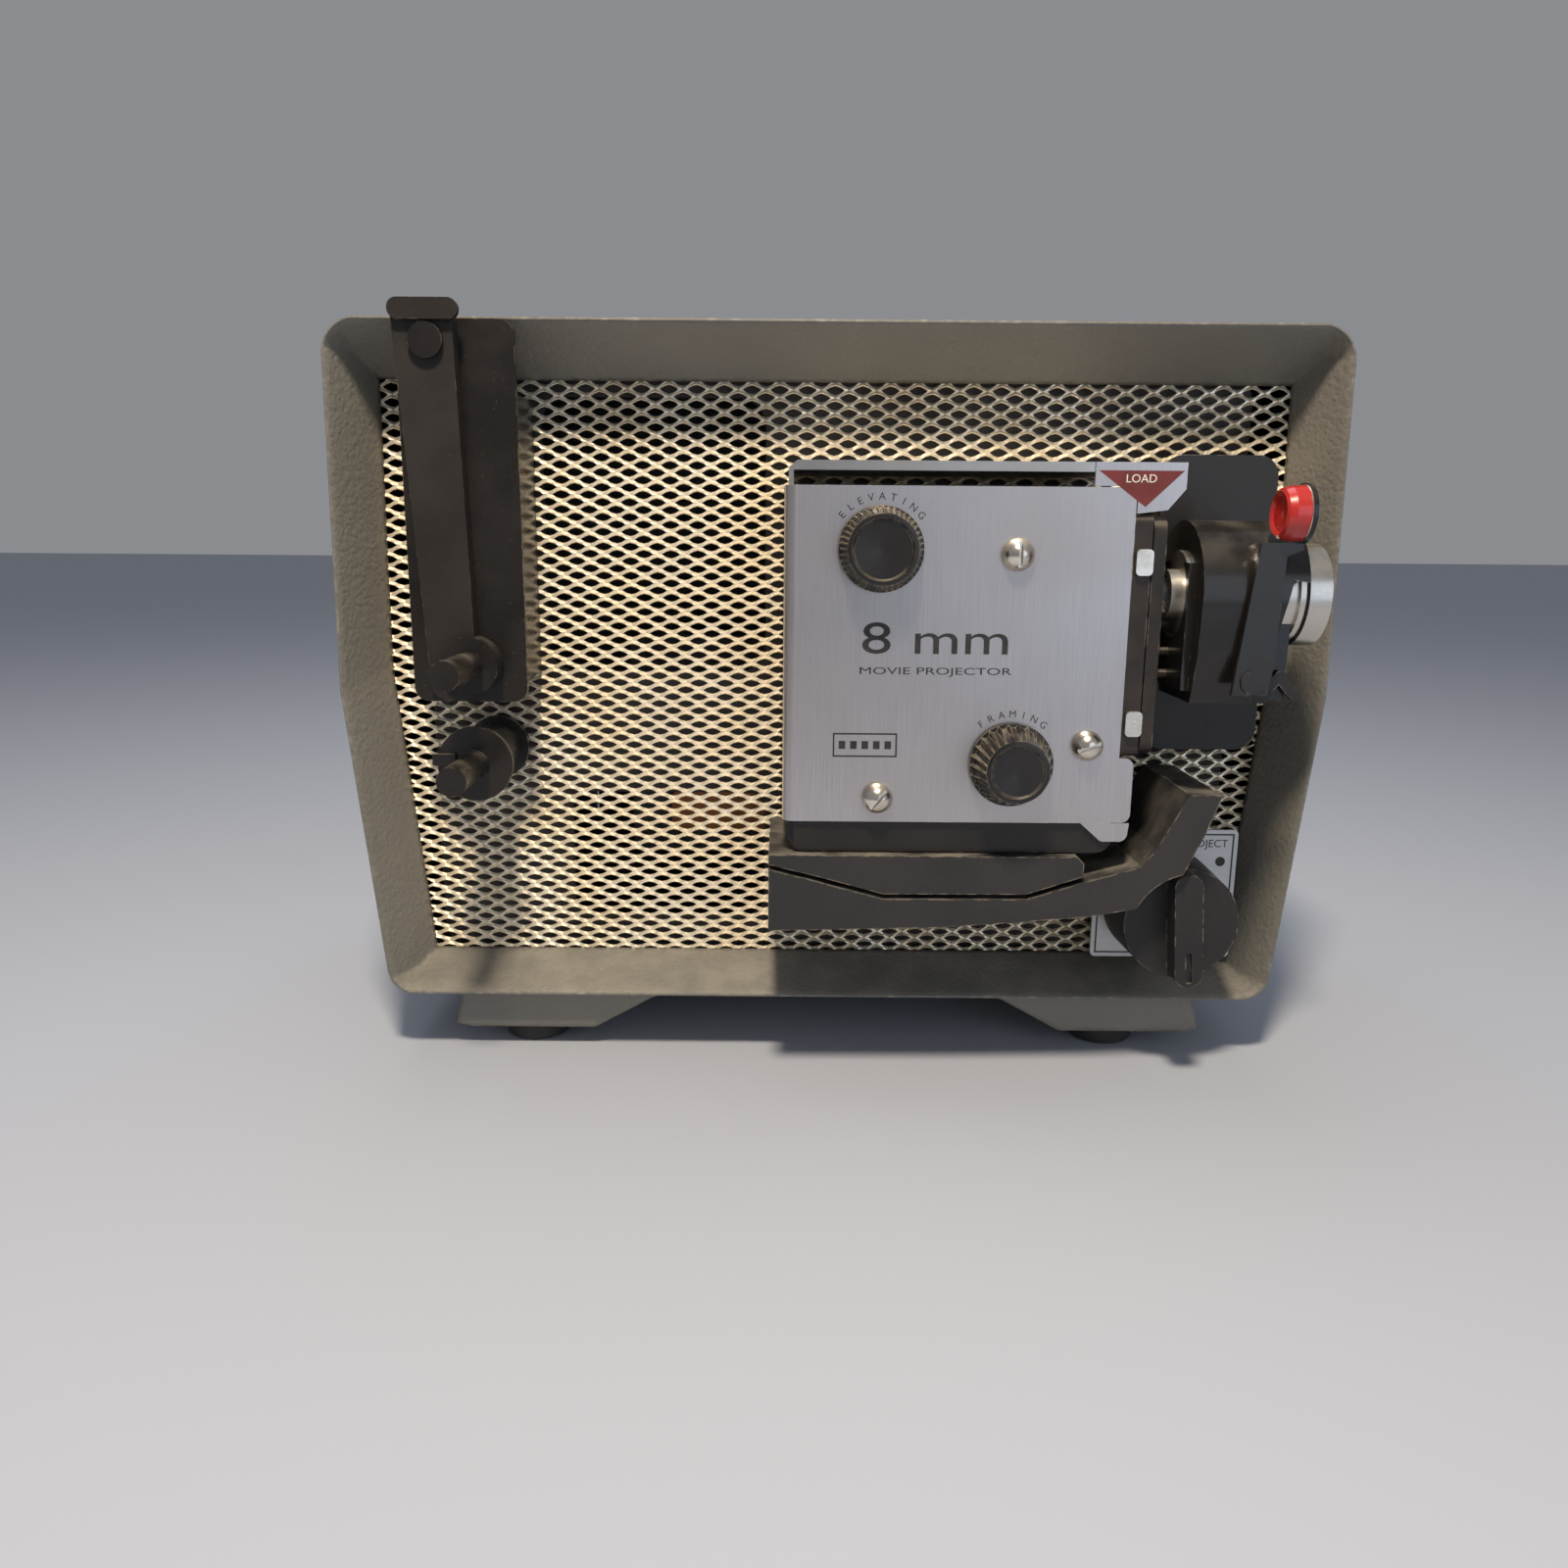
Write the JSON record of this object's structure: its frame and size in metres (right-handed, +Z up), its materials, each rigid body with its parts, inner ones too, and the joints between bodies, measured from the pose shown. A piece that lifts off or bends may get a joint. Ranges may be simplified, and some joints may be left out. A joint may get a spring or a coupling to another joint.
{
  "type": "8 mm cine projector",
  "caption": "Portable 8 mm cine projector with a mesh front, folding supply arm, take-up spindle, film gate, lens and control knobs.",
  "frame": {"origin": "middle of the outline in X and Y, on the plane the rubber feet stand on", "axes": "+X the way the lens points, -Y the operating side with the knobs and spindles, +Z up"},
  "size_m": [0.283, 0.178, 0.223],
  "materials": {
    "case_paint": "fine splatter texture",
    "grille_metal": "expanded sheet",
    "zinc_sheet": "zinc plated",
    "rubber": "matte",
    "black_enamel": "glossy enamel",
    "brushed_alu": "brushed",
    "nickel": "polished",
    "charcoal": "matte",
    "label": "printed",
    "steel": "turned",
    "glass": "clear",
    "mirror": "polished",
    "brass": "plain",
    "copper": "wound wire",
    "cast_metal": "laminated",
    "black_plastic": "moulded",
    "matte_plastic": "moulded",
    "red_plastic": "moulded",
    "brown_plastic": "moulded",
    "lens_metal": "satin"
  },
  "bodies": {
    "body": {"case_shell": "case_paint", "grille_panel": "grille_metal", "rear_panel": "case_paint", "rear_panel_screws": "nickel", "chassis_plate": "zinc_sheet", "base_rails": "case_paint", "rubber_feet": "rubber", "mechanism_housing": "black_enamel", "cover_plate": "brushed_alu", "cover_screws": "nickel", "load_tab": "brushed_alu", "top_film_guide": "zinc_sheet", "film_chute": "charcoal", "upper_film_guide": "charcoal", "guide_ear": "zinc_sheet", "label_plate": "label", "lens_backplate": "black_enamel", "aperture_plate": "nickel", "gate_clips": "nickel", "lens_holder": "black_enamel", "arm_bracket": "black_enamel", "takeup_bearing": "steel", "beam_mirror": "mirror", "condenser_mount": "cast_metal", "condenser_lens": "glass", "lamp_house": "zinc_sheet", "lamp_socket": "brass", "lamp_bulb": "glass", "lamp_reflector": "mirror", "motor_stator": "cast_metal", "motor_coil": "copper", "motor_bracket": "zinc_sheet", "switch_body": "brown_plastic", "power_inlet": "black_plastic", "drive_belt": "rubber", "takeup_belt": "rubber", "handle_brackets": "nickel", "leg_guide": "zinc_sheet"},
    "supply_arm": {"supply_arm": "black_enamel"},
    "supply_spindle": {"supply_spindle": "black_plastic"},
    "takeup_spindle": {"takeup_spindle": "black_plastic", "takeup_pulley": "brown_plastic"},
    "elevating_knob": {"elevating_knob": "black_plastic", "elevating_shaft": "steel"},
    "elevating_leg": {"elevating_leg": "steel"},
    "framing_knob": {"framing_knob": "black_plastic"},
    "control_knob": {"control_knob": "matte_plastic"},
    "lens": {"lens_barrel": "lens_metal", "lens_glass": "glass"},
    "pressure_plate": {"pressure_plate": "steel"},
    "gate_lever": {"gate_lever": "black_enamel", "lever_button": "red_plastic"},
    "hook_lever": {"hook_lever": "steel"},
    "motor_shaft": {"motor_shaft": "steel", "cooling_fan": "lens_metal"},
    "main_shaft": {"main_shaft": "steel", "shutter": "black_enamel"},
    "film_claw": {"film_claw": "steel"},
    "carry_handle": {"carry_handle": "steel", "handle_grip": "matte_plastic"}
  },
  "joints": [
    {"name": "arm_fold", "type": "hinge", "parent": "body", "child": "supply_arm", "pos_m": [-0.109, -0.05198, 0.2055], "axis": [0, 1, 0], "range_deg": [0, 180]},
    {"name": "supply_spin", "type": "hinge", "parent": "supply_arm", "child": "supply_spindle", "pos_m": [-0.1015, -0.06598, 0.12], "axis": [0, 1, 0], "continuous": true},
    {"name": "takeup_spin", "type": "hinge", "parent": "body", "child": "takeup_spindle", "pos_m": [-0.101, -0.06598, 0.0923], "axis": [0, 1, 0], "continuous": true},
    {"name": "elevating_turn", "type": "hinge", "parent": "body", "child": "elevating_knob", "pos_m": [0.011, -0.06598, 0.1528], "axis": [0, 1, 0], "range_deg": [0, 324]},
    {"name": "elevating_lift", "type": "slide", "parent": "body", "child": "elevating_leg", "axis": [0, 0, -1], "range_m": [0, 0.034]},
    {"name": "framing_turn", "type": "hinge", "parent": "body", "child": "framing_knob", "pos_m": [0.0475, -0.06598, 0.0958], "axis": [0, 1, 0], "range_deg": [-45, 45]},
    {"name": "control_turn", "type": "hinge", "parent": "body", "child": "control_knob", "pos_m": [0.1003, -0.05597, 0.048], "axis": [0, 1, 0], "range_deg": [0, 120]},
    {"name": "focus_slide", "type": "slide", "parent": "body", "child": "lens", "axis": [1, 0, 0], "range_m": [0, 0.005]},
    {"name": "gate_open", "type": "slide", "parent": "body", "child": "pressure_plate", "axis": [1, 0, 0], "range_m": [0, 0.0012]},
    {"name": "gate_lever_turn", "type": "hinge", "parent": "body", "child": "gate_lever", "pos_m": [0.1056, -0.08157, 0.1205], "axis": [0, 1, 0], "range_deg": [0, 12]},
    {"name": "hook_turn", "type": "hinge", "parent": "body", "child": "hook_lever", "pos_m": [0.1124, -0.07097, 0.116], "axis": [0, 1, 0], "range_deg": [-10, 20]},
    {"name": "motor_spin", "type": "hinge", "parent": "body", "child": "motor_shaft", "pos_m": [-0.035, 0.03402, 0.095], "axis": [0, 1, 0], "continuous": true},
    {"name": "main_spin", "type": "hinge", "parent": "body", "child": "main_shaft", "pos_m": [0.037, -0.02598, 0.125], "axis": [0, 1, 0], "continuous": true},
    {"name": "claw_stroke", "type": "slide", "parent": "body", "child": "film_claw", "axis": [0, 0, 1], "range_m": [-0.0019, 0.0019]},
    {"name": "handle_fold", "type": "hinge", "parent": "body", "child": "carry_handle", "pos_m": [0, 0.01603, 0.218], "axis": [1, 0, 0], "range_deg": [0, 90]}
  ],
  "couplings": [
    {"joint": "elevating_lift", "follows": "elevating_turn", "m_per_rad": 0.006},
    {"joint": "gate_open", "follows": "gate_lever_turn", "m_per_rad": 0.0057},
    {"joint": "main_spin", "follows": "motor_spin", "ratio": 0.26203},
    {"joint": "takeup_spin", "follows": "motor_spin", "ratio": 0.29341}
  ]
}
